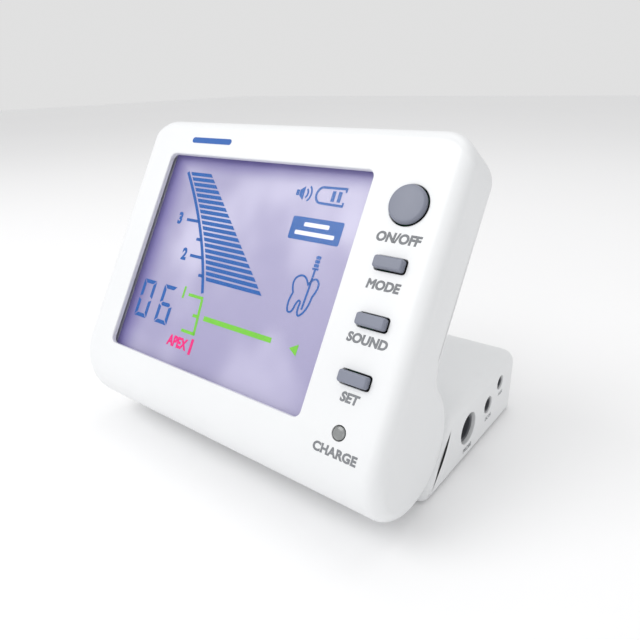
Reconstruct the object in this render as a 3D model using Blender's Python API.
"""Apex locator: a display head that tilts on a low battery base.

Frame: X to the right, Y to the rear, Z up, in metres. The origin is on the surface that the feet stand on,
under the middle of the whole object. The head is modelled in its own frame, whose origin is on the hinge
axis, whose -Y faces out of the display and whose +Z runs up the face.
"""

import math

import bmesh
import bpy
from mathutils import Matrix, Vector

# ---- Driving dimensions -------------------------------------------------------------------------
HAIR = 0.00001  # places that differ by less than this count as the same
PAST = 0.001  # how far a cut runs past the surface that it goes through
GAP = 0.0003  # clearance between neighbouring pieces
WALL = 0.0022  # moulded wall thickness
LEAN = math.radians(31.5)  # how far the face leans back from upright at rest

# Head, in its own frame.
HEAD_HALF_WIDTH = 0.063
BARREL_R = 0.020  # the rolled lower edge, round the hinge axis
HEAD_TOP = 0.0833
FLARE_R = 0.009  # concave sweep from the flat back to the barrel
HEAD_FILLET = 0.0042
HEAD_CORNER = 0.010

# Display window, and the column of controls to its right.
WINDOW_X = -0.0061
WINDOW_Z = 0.035
WINDOW_HALF_W = 0.0426
WINDOW_HALF_H = 0.035
WINDOW_CORNER = 0.0022
WINDOW_RECESS = 0.0016
WINDOW_LIP = 0.0022  # how far the window pane reaches behind the bezel
CONTROL_X = 0.0497
POWER_Z = 0.0614
MODE_Z = 0.0453
SOUND_Z = 0.0299
SET_Z = 0.0147
LED_Z = 0.0006
POWER_R = 0.0053
POWER_PROUD = 0.0018
KEY_HALF_W = 0.0043
KEY_HALF_H = 0.00165
KEY_PROUD = 0.0022
KEY_CORNER = 0.0006
BUTTON_CLEARANCE = 0.0004
BUTTON_TRAVEL = 0.0007
FLANGE = 0.0009
LIGHT_PIPE_R = 0.0018

# Hinge.
AXIS_Y = -0.030
AXIS_Z = 0.0248
KNUCKLE_R = 0.0070
KNUCKLE_HALF_W = 0.0276
NOTCH_HALF_W = 0.0290
NOTCH_FLOOR = 0.0002  # the notch runs this far behind the flat of the back
NOTCH_R = 0.0076
NOTCH_LOW_ANGLE = math.radians(-46)
AXLE_R = 0.0025
AXLE_BORE_R = 0.0015
AXLE_HALF_LENGTH = 0.036
CABLE_R = 0.0011

# Base, measured from the hinge axis in Y and Z.
BASE_HALF_WIDTH = 0.062
BASE_BAY_R = 0.0209  # concave front that the barrel turns in
BASE_LIP = 0.0091  # the front face of the base, below the barrel
BASE_SHOULDER = 0.006  # rounding between the bay and the top
BASE_TOP = -0.0010
BASE_BOTTOM = -0.0238
BASE_REAR = 0.080
BASE_FILLET = 0.004
BASE_REAR_CORNER = 0.006
BASE_BOTTOM_FILLET = 0.0014
ARM_STEP = 0.0002  # the arm's top lies this far under the base's top
ARM_LOW_ANGLE = math.radians(-40)
ARM_UNDER = (0.55, -0.83)  # where the underside runs into the knuckle, in knuckle radii from the axis
BOTTOM_HALF_W = 0.0572
BOTTOM_FRONT = 0.0143
BOTTOM_REAR = 0.0752
PROBE_HOLE = (0.0380, -0.0129, 0.0055)  # y, z and radius of each hole in the right side
CHARGE_HOLE = (0.0539, -0.0120, 0.0031)
AUX_HOLE = (0.0637, -0.0077, 0.0026)
FOOT_R = 0.004
FOOT_X = 0.0525
FOOT_FRONT = 0.0195
FOOT_REAR = 0.0700
SCREW_X = 0.0430
CELL_R = 0.0071
CELL_LENGTH = 0.050
DOOR_X = (-0.0560, 0.0)
DOOR_Y = (0.0270, 0.0640)


# ---- Scene and materials ------------------------------------------------------------------------
for old in list(bpy.data.objects):
    bpy.data.objects.remove(old)


def finish(name, color, roughness, metallic=0.0, alpha=1.0):
    made = bpy.data.materials.new(name)
    made.use_nodes = True
    shader = made.node_tree.nodes["Principled BSDF"]
    shader.inputs["Base Color"].default_value = (*color, 1.0)
    shader.inputs["Roughness"].default_value = roughness
    shader.inputs["Metallic"].default_value = metallic
    shader.inputs["Alpha"].default_value = alpha
    return made


WHITE = finish("white_casing", (0.86, 0.88, 0.89), 0.35)
KEY_GREY = finish("grey_keys", (0.24, 0.26, 0.33), 0.45)
PANE = finish("window_pane", (0.92, 0.92, 0.97), 0.08, alpha=0.3)
LCD = finish("lcd_cell", (0.48, 0.44, 0.72), 0.2)
DIFFUSER = finish("backlight", (0.93, 0.93, 0.98), 0.5)
FRAME_WHITE = finish("inner_frame", (0.75, 0.76, 0.78), 0.5)
BOARD = finish("circuit_board", (0.03, 0.22, 0.10), 0.4)
CHIP = finish("black_parts", (0.03, 0.03, 0.035), 0.4)
LENS = finish("light_pipe", (0.42, 0.43, 0.43), 0.3)
STEEL = finish("steel", (0.60, 0.61, 0.62), 0.3, metallic=1.0)
RUBBER = finish("rubber", (0.05, 0.05, 0.055), 0.8)
CELL = finish("battery_sleeve", (0.10, 0.30, 0.55), 0.35)


def pivot(name, location, lean=0.0, parent=None):
    empty = bpy.data.objects.new(name, None)
    bpy.context.scene.collection.objects.link(empty)
    empty.location = location
    empty.rotation_euler = (lean, 0.0, 0.0)
    empty.parent = parent
    return empty


HEAD = pivot("head_tilt", (0.0, AXIS_Y, AXIS_Z), lean=-LEAN)
BASE = pivot("base_frame", (0.0, AXIS_Y, AXIS_Z))


# ---- Shapes, as bmeshes -------------------------------------------------------------------------
def arc(centre, radius, start, end, steps):
    """Points of an arc in the (y, z) plane. Angles are in radians from +Y towards +Z."""
    turns = [start + (end - start) * i / steps for i in range(steps + 1)]
    return [(centre[0] + radius * math.cos(a), centre[1] + radius * math.sin(a)) for a in turns]


def loft(sections):
    """A closed solid through (x, [(y, z), ...]) sections that all have as many points."""
    mesh = bmesh.new()
    rings = [[mesh.verts.new((x, y, z)) for y, z in points] for x, points in sections]
    for low, high in zip(rings, rings[1:]):
        for i in range(len(low)):
            j = (i + 1) % len(low)
            mesh.faces.new((low[i], low[j], high[j], high[i]))
    mesh.faces.new(rings[0])
    mesh.faces.new(rings[-1])
    bmesh.ops.triangulate(mesh, faces=mesh.faces)
    bmesh.ops.recalc_face_normals(mesh, faces=mesh.faces)
    return mesh


def prism(points, x_low, x_high):
    return loft([(x_low, points), (x_high, points)])


def box(low, high):
    mesh = bmesh.new()
    bmesh.ops.create_cube(mesh, size=1.0)
    size = [b - a for a, b in zip(low, high)]
    middle = [(a + b) / 2 for a, b in zip(low, high)]
    bmesh.ops.scale(mesh, vec=size, verts=mesh.verts)
    bmesh.ops.translate(mesh, vec=middle, verts=mesh.verts)
    return mesh


def cylinder(axis, low, high, centre, radius, steps=24):
    """A cylinder along "X", "Y" or "Z" from low to high, about `centre` in the other two directions."""
    mesh = bmesh.new()
    bmesh.ops.create_cone(
        mesh, cap_ends=True, segments=steps, radius1=radius, radius2=radius, depth=high - low
    )
    turns = {"X": Matrix.Rotation(math.pi / 2, 3, "Y"), "Y": Matrix.Rotation(math.pi / 2, 3, "X")}
    if axis in turns:
        bmesh.ops.rotate(mesh, cent=(0, 0, 0), matrix=turns[axis], verts=mesh.verts)
    along = (low + high) / 2
    places = {
        "X": (along, centre[0], centre[1]),
        "Y": (centre[0], along, centre[1]),
        "Z": (centre[0], centre[1], along),
    }
    bmesh.ops.translate(mesh, vec=places[axis], verts=mesh.verts)
    bmesh.ops.recalc_face_normals(mesh, faces=mesh.faces)
    return mesh


def plate(centre, half_w, half_h, corner, y_low, y_high, steps=4):
    """A slab across the head's Y axis whose outline is a rectangle with round corners."""
    x, z = centre
    outline = []
    for quarter, (sx, sz) in enumerate(((1, 1), (-1, 1), (-1, -1), (1, -1))):
        middle = (x + sx * (half_w - corner), z + sz * (half_h - corner))
        start = quarter * math.pi / 2
        outline += arc(middle, corner, start, start + math.pi / 2, steps)
    mesh = bmesh.new()
    low = [mesh.verts.new((px, y_low, pz)) for px, pz in outline]
    high = [mesh.verts.new((px, y_high, pz)) for px, pz in outline]
    for i in range(len(outline)):
        j = (i + 1) % len(outline)
        mesh.faces.new((low[i], low[j], high[j], high[i]))
    mesh.faces.new(low)
    mesh.faces.new(high)
    bmesh.ops.recalc_face_normals(mesh, faces=mesh.faces)
    return mesh


def bevelled(mesh, chosen, width, steps=2):
    """The bmesh with the edges for which chosen(edge) is true rounded off."""
    edges = [edge for edge in mesh.edges if chosen(edge)]
    bmesh.ops.bevel(mesh, geom=edges, offset=width, segments=steps, affect="EDGES", profile=0.5)
    bmesh.ops.recalc_face_normals(mesh, faces=mesh.faces)
    return mesh


def piece(name, mesh, material, parent, origin=(0.0, 0.0, 0.0)):
    """A named object from a bmesh in its parent's frame, with its own origin at `origin`."""
    bmesh.ops.translate(mesh, vec=-Vector(origin), verts=mesh.verts)
    data = bpy.data.meshes.new(name)
    mesh.to_mesh(data)
    mesh.free()
    made = bpy.data.objects.new(name, data)
    bpy.context.scene.collection.objects.link(made)
    made.parent = parent
    made.location = origin
    data.materials.append(material)
    smooth(made)
    return made


def smooth(made):
    made.data.shade_smooth()
    made.data.set_sharp_from_angle(angle=math.radians(35))


def combine(made, tool_mesh, operation):
    """Applies one boolean of `made` with a bmesh in the same parent's frame."""
    bmesh.ops.translate(tool_mesh, vec=-made.location, verts=tool_mesh.verts)
    data = bpy.data.meshes.new("tool")
    tool_mesh.to_mesh(data)
    tool_mesh.free()
    tool = bpy.data.objects.new("tool", data)
    bpy.context.scene.collection.objects.link(tool)
    tool.parent = made.parent
    tool.location = made.location
    change = made.modifiers.new("change", "BOOLEAN")
    change.operation = operation
    change.object = tool
    bpy.context.view_layer.update()
    graph = bpy.context.evaluated_depsgraph_get()
    result = bpy.data.meshes.new_from_object(made.evaluated_get(graph))
    made.modifiers.remove(change)
    old = made.data
    made.data = result
    result.name = made.name
    bpy.data.meshes.remove(old)
    bpy.data.objects.remove(tool)
    bpy.data.meshes.remove(data)
    smooth(made)


def cut(made, *tools):
    for tool in tools:
        combine(made, tool, "DIFFERENCE")


def join(made, *tools):
    for tool in tools:
        combine(made, tool, "UNION")


def keep(made, tool):
    combine(made, tool, "INTERSECT")


def taken(made):
    """The bmesh of an object that is only needed as a tool, which it removes."""
    mesh = bmesh.new()
    mesh.from_mesh(made.data)
    bmesh.ops.triangulate(mesh, faces=mesh.faces)
    bpy.data.objects.remove(made)
    return mesh


def round_drop(x, half_width, radius):
    """How far a surface has rounded away at x, for an edge at half_width with this radius."""
    into = abs(x) - (half_width - radius)
    if into <= 0:
        return 0.0
    return radius - math.sqrt(max(radius**2 - into**2, 0.0))


def slices(half_width, fillet, corner, fillet_steps, corner_steps):
    """X positions across a form, close together where its side edges round off."""
    starts = [half_width - corner + (corner - fillet) * i / corner_steps for i in range(corner_steps)]
    turns = [math.pi / 2 * i / fillet_steps for i in range(fillet_steps + 1)]
    right = starts + [half_width - fillet + fillet * math.sin(a) for a in turns]
    return [-x for x in reversed(right)] + right


# ---- Head forms ---------------------------------------------------------------------------------
FLARE_Z = math.sqrt((BARREL_R + FLARE_R) ** 2 - FLARE_R**2)
FLARE_MEET = math.atan2(FLARE_Z, FLARE_R)
SHARPEST = 0.0002


def head_outline(inset, top, edge):
    """The head's side view: flat face, round barrel, concave flare, flat back and rounded top."""
    front = -BARREL_R + inset
    back = -inset
    points = arc((front + edge, top - edge), edge, math.pi / 2, math.pi, 4)
    points += arc((0, 0), BARREL_R - inset, math.pi, 2 * math.pi + FLARE_MEET, 26)
    points += arc((FLARE_R, FLARE_Z), FLARE_R + inset, math.pi + FLARE_MEET, math.pi, 5)[1:]
    points += arc((back - edge, top - edge), edge, 0.0, math.pi / 2, 4)
    return points


def head_form(inset, fillet_steps, corner_steps):
    half = HEAD_HALF_WIDTH - inset
    fillet = max(HEAD_FILLET - inset, 0.001)
    corner = HEAD_CORNER - inset
    sections = []
    for x in slices(half, fillet, corner, fillet_steps, corner_steps):
        side = round_drop(x, half, fillet)
        top = HEAD_TOP - inset - round_drop(x, half, corner)
        sections.append((x, head_outline(inset + side, top, max(fillet - side, SHARPEST))))
    return loft(sections)


def notch(grown):
    """The space in the barrel that the base's knuckle and arm turn in, larger all round by `grown`."""
    low = Vector((math.cos(NOTCH_LOW_ANGLE), math.sin(NOTCH_LOW_ANGLE)))
    below = Vector((low.y, -low.x)) * grown
    reach = 2.2 * BARREL_R
    floor = NOTCH_FLOOR - grown
    foot = below - low * ((below.x - floor) / low.x)
    far = below + low * reach
    points = [(floor, reach), tuple(foot), tuple(far), (reach, far.y), (reach, reach)]
    half = NOTCH_HALF_W + grown
    return prism(points, -half, half), cylinder("X", -half, half, (0, 0), NOTCH_R + grown, 32)


# ---- Head casing --------------------------------------------------------------------------------
COVER_HALF_W = 0.058
COVER_TOP = 0.0790
COVER_LOW = -0.012
COVER_DEPTH = WALL + GAP
COVER_CORNER = 0.004
BEARING_HALF_W = NOTCH_HALF_W + WALL + GAP
BEARING_R = NOTCH_R + WALL + GAP
HEAD_SCREWS = (
    ("head_screw_1", -0.046, 0.0758, -0.0062),
    ("head_screw_2", 0.046, 0.0758, -0.0062),
    ("head_screw_3", -0.046, -0.0076, 0.0060),
    ("head_screw_4", 0.046, -0.0076, 0.0060),
)
BOSS_R = 0.0032
SCREW_HEAD_R = 0.0022
SCREW_HEAD = 0.0018
SCREW_R = 0.0013
SCREW_LENGTH = 0.009
SCREW_SEAT = 0.0012  # floor of the recess that a screw's head sits on


def cover_region(grown):
    """The part of the head's shell that belongs to the rear cover."""
    deep = 1.5 * BARREL_R
    middle = (0.0, (COVER_TOP + COVER_LOW) / 2)
    half_h = (COVER_TOP - COVER_LOW) / 2 + grown
    back = plate(middle, COVER_HALF_W + grown, half_h, COVER_CORNER, -COVER_DEPTH - grown, deep)
    bearing_half = BEARING_HALF_W + grown
    bearing_y = -BEARING_R - grown
    bearing = box((-bearing_half, bearing_y, COVER_LOW - grown), (bearing_half, deep, BEARING_R + grown))
    return back, bearing


def head_shell(name):
    shell = piece(name, head_form(0.0, 4, 2), WHITE, HEAD)
    cut(shell, *notch(0.0))
    hollow = piece("hollow", head_form(WALL, 2, 1), WHITE, HEAD)
    cut(hollow, *notch(WALL))
    cut(shell, taken(hollow))
    return shell


OUTSIDE_Y = -1.5 * BARREL_R  # through cuts in the face run between these
INSIDE_Y = -0.5 * BARREL_R


def key_hole(z):
    half_w = KEY_HALF_W + BUTTON_CLEARANCE
    half_h = KEY_HALF_H + BUTTON_CLEARANCE
    return plate((CONTROL_X, z), half_w, half_h, KEY_CORNER + BUTTON_CLEARANCE, OUTSIDE_Y, INSIDE_Y, 2)


def window_cuts():
    place = (WINDOW_X, WINDOW_Z)
    deep = -BARREL_R + 2 * WALL
    opening = plate(place, WINDOW_HALF_W, WINDOW_HALF_H, WINDOW_CORNER, OUTSIDE_Y, deep)
    half_w = WINDOW_HALF_W + WINDOW_LIP + GAP
    half_h = WINDOW_HALF_H + WINDOW_LIP + GAP
    seat = -BARREL_R + WINDOW_RECESS
    rebate = plate(place, half_w, half_h, WINDOW_CORNER, seat, deep)
    return opening, rebate


def front_wall(z):
    """The middle of the head's front wall, at the side of a screw boss where the wall lies furthest back."""
    if z > 0:
        return -BARREL_R + WALL / 2
    return -math.sqrt((BARREL_R - WALL / 2) ** 2 - (BOSS_R - z) ** 2)


def head_housing():
    housing = head_shell("head_housing")
    cut(housing, *cover_region(GAP))
    for _, x, z, seat in HEAD_SCREWS:
        join(housing, cylinder("Y", front_wall(z), seat, (x, z), BOSS_R, 16))
        cut(housing, cylinder("Y", seat - SCREW_LENGTH - PAST, seat + PAST, (x, z), SCREW_R + GAP, 12))
    cut(housing, *window_cuts())
    hole_r = POWER_R + BUTTON_CLEARANCE
    cut(housing, cylinder("Y", OUTSIDE_Y, INSIDE_Y, (CONTROL_X, POWER_Z), hole_r, 32))
    for z in (MODE_Z, SOUND_Z, SET_Z):
        cut(housing, key_hole(z))
    cut(housing, cylinder("Y", OUTSIDE_Y, INSIDE_Y, (CONTROL_X, LED_Z), LIGHT_PIPE_R + GAP, 20))
    return housing


def flat_back():
    """Everything ahead of the middle of the back wall."""
    return box((-1.0, -1.0, -1.0), (1.0, -WALL / 2, 1.0))


def inside_barrel():
    """Everything inside the middle of the barrel's wall."""
    return cylinder("X", -HEAD_HALF_WIDTH, HEAD_HALF_WIDTH, (0, 0), BARREL_R - WALL / 2)


def head_rear_cover():
    cover = head_shell("head_rear_cover")
    back, bearing = cover_region(0.0)
    region = piece("region", back, WHITE, HEAD)
    join(region, bearing)
    keep(cover, taken(region))
    cut(cover, cylinder("X", -BEARING_HALF_W, BEARING_HALF_W, (0, 0), AXLE_R + GAP, 24))
    reach = 1.5 * BARREL_R
    for _, x, z, seat in HEAD_SCREWS:
        post = piece("post", cylinder("Y", seat + GAP, reach, (x, z), BOSS_R, 16), WHITE, HEAD)
        keep(post, inside_barrel() if z < 0 else flat_back())
        join(cover, taken(post))
        cut(cover, cylinder("Y", seat + GAP + SCREW_SEAT, reach, (x, z), SCREW_HEAD_R + GAP, 16))
        cut(cover, cylinder("Y", seat - PAST, seat + GAP + SCREW_SEAT + PAST, (x, z), SCREW_R + GAP, 12))
    return cover


def head_screw(name, centre, seat):
    """A pan-head screw along Y whose head's underside is at `seat`."""
    made = piece(name, cylinder("Y", seat, seat + SCREW_HEAD, centre, SCREW_HEAD_R, 16), STEEL, HEAD)
    join(made, cylinder("Y", seat - SCREW_LENGTH, seat + SCREW_HEAD / 2, centre, SCREW_R, 12))


head_housing()
head_rear_cover()
for screw_name, screw_x, screw_z, screw_seat in HEAD_SCREWS:
    head_screw(screw_name, (screw_x, screw_z), screw_seat + 2 * GAP + SCREW_SEAT)


# ---- Display ------------------------------------------------------------------------------------
FACE_Y = -BARREL_R
INNER_FACE_Y = FACE_Y + WALL
PANE_Y = FACE_Y + WINDOW_RECESS + GAP
PANE_THICK = 0.0012
LCD_MARGIN = 0.0008
LCD_HALF_W = WINDOW_HALF_W + LCD_MARGIN
LCD_HALF_H = WINDOW_HALF_H + LCD_MARGIN
LCD_CORNER = 0.0008
LCD_Y = PANE_Y + PANE_THICK + GAP
LCD_THICK = 0.0018
LIGHT_Y = LCD_Y + LCD_THICK + GAP
LIGHT_THICK = 0.0024
HOLDER_WALL = 0.0012
BOARD_Y = LIGHT_Y + LIGHT_THICK + 2 * GAP
BOARD_THICK = 0.0015
BOARD_X = (-0.0520, 0.0545)
BOARD_Z = (-0.0030, 0.0720)


def display():
    place = (WINDOW_X, WINDOW_Z)
    half_w = WINDOW_HALF_W + WINDOW_LIP
    half_h = WINDOW_HALF_H + WINDOW_LIP
    pane = plate(place, half_w, half_h, WINDOW_CORNER - GAP, PANE_Y, PANE_Y + PANE_THICK)
    piece("display_window", pane, PANE, HEAD)
    cell = plate(place, LCD_HALF_W, LCD_HALF_H, LCD_CORNER, LCD_Y, LCD_Y + LCD_THICK, 2)
    piece("lcd_cell", cell, LCD, HEAD)
    light = plate(place, LCD_HALF_W, LCD_HALF_H, LCD_CORNER, LIGHT_Y, LIGHT_Y + LIGHT_THICK, 2)
    piece("backlight", light, DIFFUSER, HEAD)
    inner_w = LCD_HALF_W + GAP
    inner_h = LCD_HALF_H + GAP
    end = LIGHT_Y + LIGHT_THICK + GAP
    outer = plate(place, inner_w + HOLDER_WALL, inner_h + HOLDER_WALL, LCD_CORNER, LCD_Y, end, 2)
    holder = piece("lcd_holder", outer, FRAME_WHITE, HEAD)
    cut(holder, plate(place, inner_w, inner_h, LCD_CORNER, LCD_Y - PAST, end + PAST, 2))


BUZZER_PLACE = (-0.032, 0.052)
BUZZER_R = 0.007
BUZZER_DEEP = 0.0045
BUZZER_HOLE_R = 0.001
CHIP_LOW = (0.004, 0.034)
CHIP_SIDE = 0.014
CHIP_THICK = 0.0016
LED_HALF = 0.0014
LED_THICK = 0.0009
PIPE_INSET = 0.0001  # how far the light pipe's end lies under the face


def electronics():
    low = (BOARD_X[0], BOARD_Y, BOARD_Z[0])
    high = (BOARD_X[1], BOARD_Y + BOARD_THICK, BOARD_Z[1])
    piece("main_board", box(low, high), BOARD, HEAD)
    back = BOARD_Y + BOARD_THICK + GAP
    sounder = cylinder("Y", back, back + BUZZER_DEEP, BUZZER_PLACE, BUZZER_R, 28)
    buzzer = piece("buzzer", sounder, CHIP, HEAD)
    end = back + BUZZER_DEEP
    cut(buzzer, cylinder("Y", end - PAST, end + PAST, BUZZER_PLACE, BUZZER_HOLE_R, 12))
    x, z = CHIP_LOW
    chip = box((x, back, z), (x + CHIP_SIDE, back + CHIP_THICK, z + CHIP_SIDE))
    piece("controller_chip", chip, CHIP, HEAD)
    top = BOARD_Y - GAP
    low = (CONTROL_X - LED_HALF, top - LED_THICK, LED_Z - LED_HALF)
    piece("charge_led", box(low, (CONTROL_X + LED_HALF, top, LED_Z + LED_HALF)), DIFFUSER, HEAD)
    end = top - LED_THICK - 2 * GAP
    pipe = cylinder("Y", FACE_Y + PIPE_INSET, end, (CONTROL_X, LED_Z), LIGHT_PIPE_R, 20)
    piece("charge_light_pipe", pipe, LENS, HEAD)


display()
electronics()


# ---- Buttons, each with its switch --------------------------------------------------------------
SWITCH_HALF = 0.003
SWITCH_BODY = 0.0016
SWITCH_STEM = 0.0006  # how far the switch's own plunger stands out
SWITCH_STEM_R = 0.0014
STEM_R = 0.0013
POWER_BEVEL = 0.0006
KEY_BEVEL = 0.0004
FLANGE_MARGIN = 0.001
STEM_END = BOARD_Y - 2 * GAP - SWITCH_BODY - SWITCH_STEM - BUTTON_TRAVEL


def switch(name, z):
    top = BOARD_Y - GAP
    body = box(
        (CONTROL_X - SWITCH_HALF, top - SWITCH_BODY, z - SWITCH_HALF),
        (CONTROL_X + SWITCH_HALF, top, z + SWITCH_HALF),
    )
    made = piece(name, body, CHIP, HEAD)
    low = top - SWITCH_BODY - SWITCH_STEM
    join(made, cylinder("Y", low, top - SWITCH_BODY / 2, (CONTROL_X, z), SWITCH_STEM_R, 16))


def button(name, cap, flange, z):
    pusher = piece(name, cap, KEY_GREY, HEAD, origin=(CONTROL_X, FACE_Y, z))
    join(pusher, flange, cylinder("Y", INNER_FACE_Y + GAP, STEM_END, (CONTROL_X, z), STEM_R, 12))


def outer_rim(y):
    return lambda edge: all(abs(v.co.y - y) < HAIR for v in edge.verts)


def power_button():
    front = FACE_Y - POWER_PROUD
    place = (CONTROL_X, POWER_Z)
    cap = cylinder("Y", front, INNER_FACE_Y + GAP + FLANGE / 2, place, POWER_R, 32)
    bevelled(cap, outer_rim(front), POWER_BEVEL)
    low = INNER_FACE_Y + GAP
    flange = cylinder("Y", low, low + FLANGE, place, POWER_R + FLANGE_MARGIN, 32)
    button("power_button", cap, flange, POWER_Z)


def key(name, z):
    front = FACE_Y - KEY_PROUD
    place = (CONTROL_X, z)
    back = INNER_FACE_Y + GAP + FLANGE / 2
    cap = plate(place, KEY_HALF_W, KEY_HALF_H, KEY_CORNER, front, back, 2)
    bevelled(cap, outer_rim(front), KEY_BEVEL)
    low = INNER_FACE_Y + GAP
    half_w = KEY_HALF_W + FLANGE_MARGIN
    half_h = KEY_HALF_H + FLANGE_MARGIN
    flange = plate(place, half_w, half_h, KEY_CORNER, low, low + FLANGE, 2)
    button(name, cap, flange, z)


power_button()
key("mode_key", MODE_Z)
key("sound_key", SOUND_Z)
key("set_key", SET_Z)
switch("power_switch", POWER_Z)
switch("mode_switch", MODE_Z)
switch("sound_switch", SOUND_Z)
switch("set_switch", SET_Z)


# ---- Hinge --------------------------------------------------------------------------------------
WASHER = 0.0008
WASHER_R = 0.0055
CLIP_R = 0.0045
WASHER_X = KNUCKLE_HALF_W + GAP
CLIP_X = BEARING_HALF_W + GAP
CABLE_END = 0.003  # how far the cable stands out of the axle


def ring(name, x_low, outer, side):
    low, high = sorted((side * x_low, side * (x_low + WASHER)))
    made = piece(name, cylinder("X", low, high, (0, 0), outer, 24), STEEL, HEAD)
    cut(made, cylinder("X", low - PAST, high + PAST, (0, 0), AXLE_R + GAP, 24))


def hinge():
    half = AXLE_HALF_LENGTH
    axle = piece("hinge_axle", cylinder("X", -half, half, (0, 0), AXLE_R), STEEL, HEAD)
    cut(axle, cylinder("X", -half - PAST, half + PAST, (0, 0), AXLE_BORE_R, 16))
    reach = half + CABLE_END
    piece("hinge_cable", cylinder("X", -reach, reach, (0, 0), CABLE_R, 12), CHIP, HEAD)
    ring("friction_washer_left", WASHER_X, WASHER_R, -1)
    ring("friction_washer_right", WASHER_X, WASHER_R, 1)
    ring("hinge_clip_left", CLIP_X, CLIP_R, -1)
    ring("hinge_clip_right", CLIP_X, CLIP_R, 1)


hinge()


# ---- Base casing --------------------------------------------------------------------------------
SHOULDER_Z = BASE_TOP - BASE_SHOULDER
SHOULDER_Y = math.sqrt((BASE_BAY_R + BASE_SHOULDER) ** 2 - SHOULDER_Z**2)
SHOULDER_ANGLE = math.atan2(SHOULDER_Z, SHOULDER_Y)


def base_outline(inset, side, low_side, rear, edge, low_edge):
    """The base's side view: lip, concave bay, shoulder, top, rear and underside."""
    bay = BASE_BAY_R + inset + side
    lip = BASE_LIP + inset + side
    top = BASE_TOP - inset - side
    bottom = BASE_BOTTOM + inset + low_side
    lip_angle = -math.acos(lip / bay)
    points = [(lip, bottom)]
    points += arc((0, 0), bay, lip_angle, SHOULDER_ANGLE, 12)
    shoulder = max(BASE_SHOULDER - inset - side, SHARPEST)
    points += arc((SHOULDER_Y, SHOULDER_Z), shoulder, math.pi + SHOULDER_ANGLE, math.pi / 2, 5)[1:]
    points += arc((rear - edge, top - edge), edge, math.pi / 2, 0.0, 4)
    points += arc((rear - low_edge, bottom + low_edge), low_edge, 0.0, -math.pi / 2, 2)
    return points


def base_form(inset, fillet_steps, corner_steps):
    half = BASE_HALF_WIDTH - inset
    fillet = max(BASE_FILLET - inset, 0.001)
    low_fillet = max(BASE_BOTTOM_FILLET - inset, 0.0005)
    corner = BASE_REAR_CORNER - inset
    sections = []
    for x in slices(half, fillet, corner, fillet_steps, corner_steps):
        side = round_drop(x, half, fillet)
        low_side = round_drop(x, half, low_fillet)
        rear = BASE_REAR - inset - round_drop(x, half, corner)
        edge = max(fillet - side, SHARPEST)
        low_edge = max(low_fillet - low_side, SHARPEST)
        sections.append((x, base_outline(inset, side, low_side, rear, edge, low_edge)))
    return loft(sections)


def arm():
    """Joins the knuckle to the base. What runs on into the base is removed with the hollow."""
    top = BASE_TOP - ARM_STEP
    reach = SHOULDER_Y + BASE_SHOULDER / 2
    low = (BASE_BAY_R * math.cos(ARM_LOW_ANGLE), BASE_BAY_R * math.sin(ARM_LOW_ANGLE))
    under = [KNUCKLE_R * share for share in ARM_UNDER]
    points = [(KNUCKLE_R / 2, top), (reach, top), (reach, low[1]), low, under]
    return prism(points, -KNUCKLE_HALF_W, KNUCKLE_HALF_W)


def bottom_plate(grown, low, high):
    """The base's bottom cover, larger all round by `grown`."""
    middle = (0.0, (BOTTOM_FRONT + BOTTOM_REAR) / 2)
    half_d = (BOTTOM_REAR - BOTTOM_FRONT) / 2 + grown
    return laid(middle, BOTTOM_HALF_W + grown, half_d, COVER_CORNER, low, high)


def laid(middle, half_w, half_d, corner, low, high):
    """A slab across Z whose outline is a rectangle with round corners."""
    mesh = plate(middle, half_w, half_d, corner, -high, -low, 3)
    bmesh.ops.rotate(mesh, cent=(0, 0, 0), matrix=Matrix.Rotation(-math.pi / 2, 3, "X"), verts=mesh.verts)
    return mesh


SCREW_SPOTS = (
    ("base_screw_1", -SCREW_X, FOOT_FRONT),
    ("base_screw_2", SCREW_X, FOOT_FRONT),
    ("base_screw_3", -SCREW_X, FOOT_REAR),
    ("base_screw_4", SCREW_X, FOOT_REAR),
)
BASE_SCREW_SEAT = BASE_BOTTOM + WALL - 0.0008
BASE_SCREW_LENGTH = 0.007
BASE_SCREW_HOLE = 0.010
SIDE_CUT = 0.004  # how far the cuts for the sockets run either way from the side


def base_boss(x, y, top):
    """A screw boss, cut away where the bay's wall passes it."""
    boss = piece("boss", cylinder("Z", BASE_BOTTOM + WALL + 2 * GAP, top, (x, y), BOSS_R, 16), WHITE, BASE)
    cut(boss, cylinder("X", -BASE_HALF_WIDTH, BASE_HALF_WIDTH, (0, 0), BASE_BAY_R + WALL / 2, 48))
    return taken(boss)


def base_housing():
    housing = piece("base_housing", base_form(0.0, 4, 2), WHITE, BASE)
    join(housing, arm())
    join(housing, cylinder("X", -KNUCKLE_HALF_W, KNUCKLE_HALF_W, (0, 0), KNUCKLE_R, 32))
    cut(housing, base_form(WALL, 2, 1))
    cut(housing, bottom_plate(GAP, BASE_BOTTOM - PAST, BASE_BOTTOM + WALL + GAP))
    for _, x, y in SCREW_SPOTS:
        boss_top = SHOULDER_Z if y == FOOT_FRONT else BASE_TOP - WALL / 2
        join(housing, base_boss(x, y, boss_top))
        top = BASE_BOTTOM + BASE_SCREW_HOLE
        cut(housing, cylinder("Z", BASE_BOTTOM + WALL, top, (x, y), SCREW_R + GAP, 12))
    half = KNUCKLE_HALF_W + WALL + PAST
    cut(housing, cylinder("X", -half, half, (0, 0), AXLE_R + GAP, 24))
    low, high = BASE_HALF_WIDTH - SIDE_CUT, BASE_HALF_WIDTH + SIDE_CUT
    for y, z, radius in (PROBE_HOLE, CHARGE_HOLE, AUX_HOLE):
        cut(housing, cylinder("X", low, high, (y, z), radius, 28))


base_housing()


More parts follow.
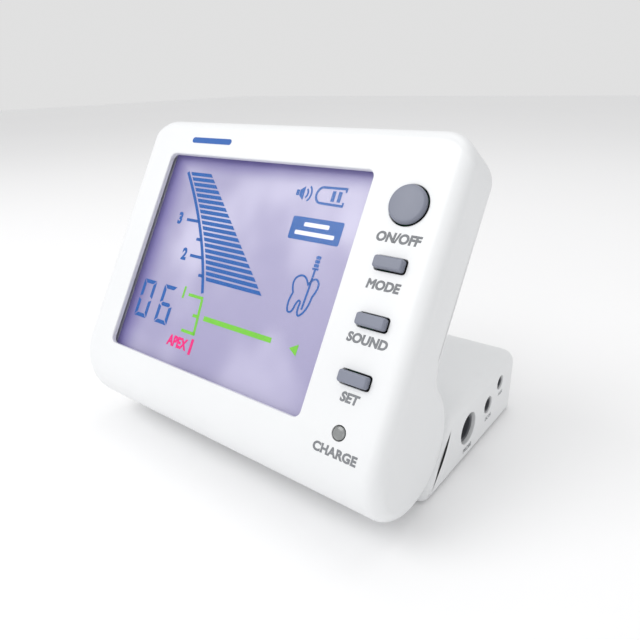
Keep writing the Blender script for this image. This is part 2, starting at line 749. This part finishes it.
# ---- Underside: cover, battery door, feet and screws --------------------------------------------
DOOR_RIM = 0.0015
DOOR_THICK = 0.0010
DOOR_CORNER = 0.003
DOOR_MIDDLE = ((DOOR_X[0] + DOOR_X[1]) / 2, (DOOR_Y[0] + DOOR_Y[1]) / 2)
DOOR_HALF_W = (DOOR_X[1] - DOOR_X[0]) / 2
DOOR_HALF_D = (DOOR_Y[1] - DOOR_Y[0]) / 2
GRIP_COUNT = 5
GRIP_START = 0.005
GRIP_PITCH = 0.002
GRIP_WIDTH = 0.0009
GRIP_HALF = 0.007
GRIP_DEEP = 0.0004
CELL_Z = BASE_BOTTOM + WALL + DOOR_RIM + CELL_R
CELL_Y = (DOOR_MIDDLE[1] - CELL_R - GAP, DOOR_MIDDLE[1] + CELL_R + GAP)
CELL_X = DOOR_MIDDLE[0] - CELL_LENGTH / 2


def base_bottom_cover():
    cover = piece("base_bottom_cover", bottom_plate(0.0, BASE_BOTTOM, BASE_BOTTOM + WALL), WHITE, BASE)
    half_w = DOOR_HALF_W - DOOR_RIM
    half_d = DOOR_HALF_D - DOOR_RIM
    cut(cover, laid(DOOR_MIDDLE, half_w, half_d, DOOR_CORNER - DOOR_RIM, BASE_BOTTOM - PAST, 0.0))
    seat_z = BASE_BOTTOM + DOOR_THICK + GAP
    cut(cover, laid(DOOR_MIDDLE, DOOR_HALF_W, DOOR_HALF_D, DOOR_CORNER, BASE_BOTTOM - PAST, seat_z))
    for _, x, y in SCREW_SPOTS:
        cut(cover, cylinder("Z", BASE_BOTTOM - PAST, 0.0, (x, y), SCREW_R + GAP, 12))
        seat = BASE_SCREW_SEAT - GAP
        cut(cover, cylinder("Z", BASE_BOTTOM - PAST, seat, (x, y), SCREW_HEAD_R + GAP, 16))


def battery_door():
    top = BASE_BOTTOM + DOOR_THICK
    lid = laid(DOOR_MIDDLE, DOOR_HALF_W - GAP, DOOR_HALF_D - GAP, DOOR_CORNER, BASE_BOTTOM, top)
    door = piece("battery_door", lid, WHITE, BASE)
    for i in range(GRIP_COUNT):
        x = DOOR_X[0] + GRIP_START + GRIP_PITCH * i
        low = (x, DOOR_MIDDLE[1] - GRIP_HALF, BASE_BOTTOM - PAST)
        cut(door, box(low, (x + GRIP_WIDTH, DOOR_MIDDLE[1] + GRIP_HALF, BASE_BOTTOM + GRIP_DEEP)))


FOOT_SPOTS = [(x, y) for y in (FOOT_FRONT, FOOT_REAR) for x in (-FOOT_X, FOOT_X)]
FOOT_BEVEL = 0.0003
TOUCH_GAP = 0.0001


def feet():
    for number, (x, y) in enumerate(FOOT_SPOTS, 1):
        pad = cylinder("Z", -AXIS_Z, BASE_BOTTOM - TOUCH_GAP, (x, y), FOOT_R, 24)
        bevelled(pad, lambda edge: all(v.co.z < HAIR - AXIS_Z for v in edge.verts), FOOT_BEVEL, 1)
        piece(f"foot_{number}", pad, RUBBER, BASE)


def base_screws():
    seat = BASE_SCREW_SEAT - 2 * GAP
    for name, x, y in SCREW_SPOTS:
        head = cylinder("Z", BASE_BOTTOM + TOUCH_GAP, seat, (x, y), SCREW_HEAD_R, 16)
        made = piece(name, head, STEEL, BASE)
        join(made, cylinder("Z", seat - TOUCH_GAP, seat + BASE_SCREW_LENGTH, (x, y), SCREW_R, 12))


base_bottom_cover()
battery_door()
feet()
base_screws()


# ---- Inside the base: cells, contacts, board and sockets ----------------------------------------
SOCKET_FACE_X = BASE_HALF_WIDTH - 0.0012
SOCKET_BACK_X = 0.046
INNER_SIDE_X = BASE_HALF_WIDTH - WALL - GAP
BASE_BOARD_Z = BASE_BOTTOM + WALL + 0.0008
BASE_BOARD_X = (0.0100, 0.0580)
BASE_BOARD_Y = (0.0290, 0.0660)
CELL_EDGE = 0.0005
CELL_NUB = 0.0010
CELL_NUB_R = 0.0024
CONTACT = 0.0006
CONTACT_HALF = 0.004
PROBE_WALL = 0.0011
PROBE_DEEP = 0.007
CHARGE_DEEP = 0.009
CHARGE_PIN_R = 0.0009
AUX_DEEP = 0.010
AUX_BORE_R = 0.0018


def cells():
    end = CELL_X + CELL_LENGTH
    for number, y in enumerate(CELL_Y, 1):
        can = cylinder("X", CELL_X, end, (y, CELL_Z), CELL_R, 28)
        bevelled(can, lambda edge: abs(edge.verts[0].co.x - edge.verts[1].co.x) < HAIR, CELL_EDGE, 1)
        made = piece(f"battery_cell_{number}", can, CELL, BASE)
        join(made, cylinder("X", end - CELL_NUB, end + CELL_NUB, (y, CELL_Z), CELL_NUB_R, 16))
    contact("battery_contact_left", CELL_X - GAP - CONTACT)
    contact("battery_contact_right", end + CELL_NUB + GAP)


def contact(name, x):
    low = (x, CELL_Y[0] - CONTACT_HALF, CELL_Z - CONTACT_HALF)
    high = (x + CONTACT, CELL_Y[1] + CONTACT_HALF, CELL_Z + CONTACT_HALF)
    piece(name, box(low, high), STEEL, BASE)


def base_board():
    low = (BASE_BOARD_X[0], BASE_BOARD_Y[0], BASE_BOARD_Z)
    high = (BASE_BOARD_X[1], BASE_BOARD_Y[1], BASE_BOARD_Z + BOARD_THICK)
    piece("base_board", box(low, high), BOARD, BASE)


def probe_socket():
    y, z, radius = PROBE_HOLE
    body = cylinder("X", SOCKET_BACK_X, SOCKET_FACE_X, (y, z), radius - GAP, 28)
    made = piece("probe_socket", body, CHIP, BASE)
    bore_r = radius - GAP - PROBE_WALL
    cut(made, cylinder("X", SOCKET_FACE_X - PROBE_DEEP, SOCKET_FACE_X + PAST, (y, z), bore_r, 28))


def jack(name, hole, half_y, below, above, deep, bore_r):
    """A square-bodied socket behind a hole in the side."""
    y, z, _ = hole
    body = box((SOCKET_BACK_X, y - half_y, z - below), (INNER_SIDE_X, y + half_y, z + above))
    made = piece(name, body, CHIP, BASE)
    cut(made, cylinder("X", INNER_SIDE_X - deep, INNER_SIDE_X + PAST, (y, z), bore_r, 24))
    return made


def sockets():
    probe_socket()
    y, z, radius = CHARGE_HOLE
    charge = jack("charge_socket", CHARGE_HOLE, 0.0045, 0.0055, 0.0040, CHARGE_DEEP, radius - GAP)
    low = INNER_SIDE_X - CHARGE_DEEP - PAST
    join(charge, cylinder("X", low, INNER_SIDE_X - PAST, (y, z), CHARGE_PIN_R, 12))
    jack("aux_socket", AUX_HOLE, 0.0035, 0.0040, 0.0030, AUX_DEEP, AUX_BORE_R)


cells()
base_board()
sockets()
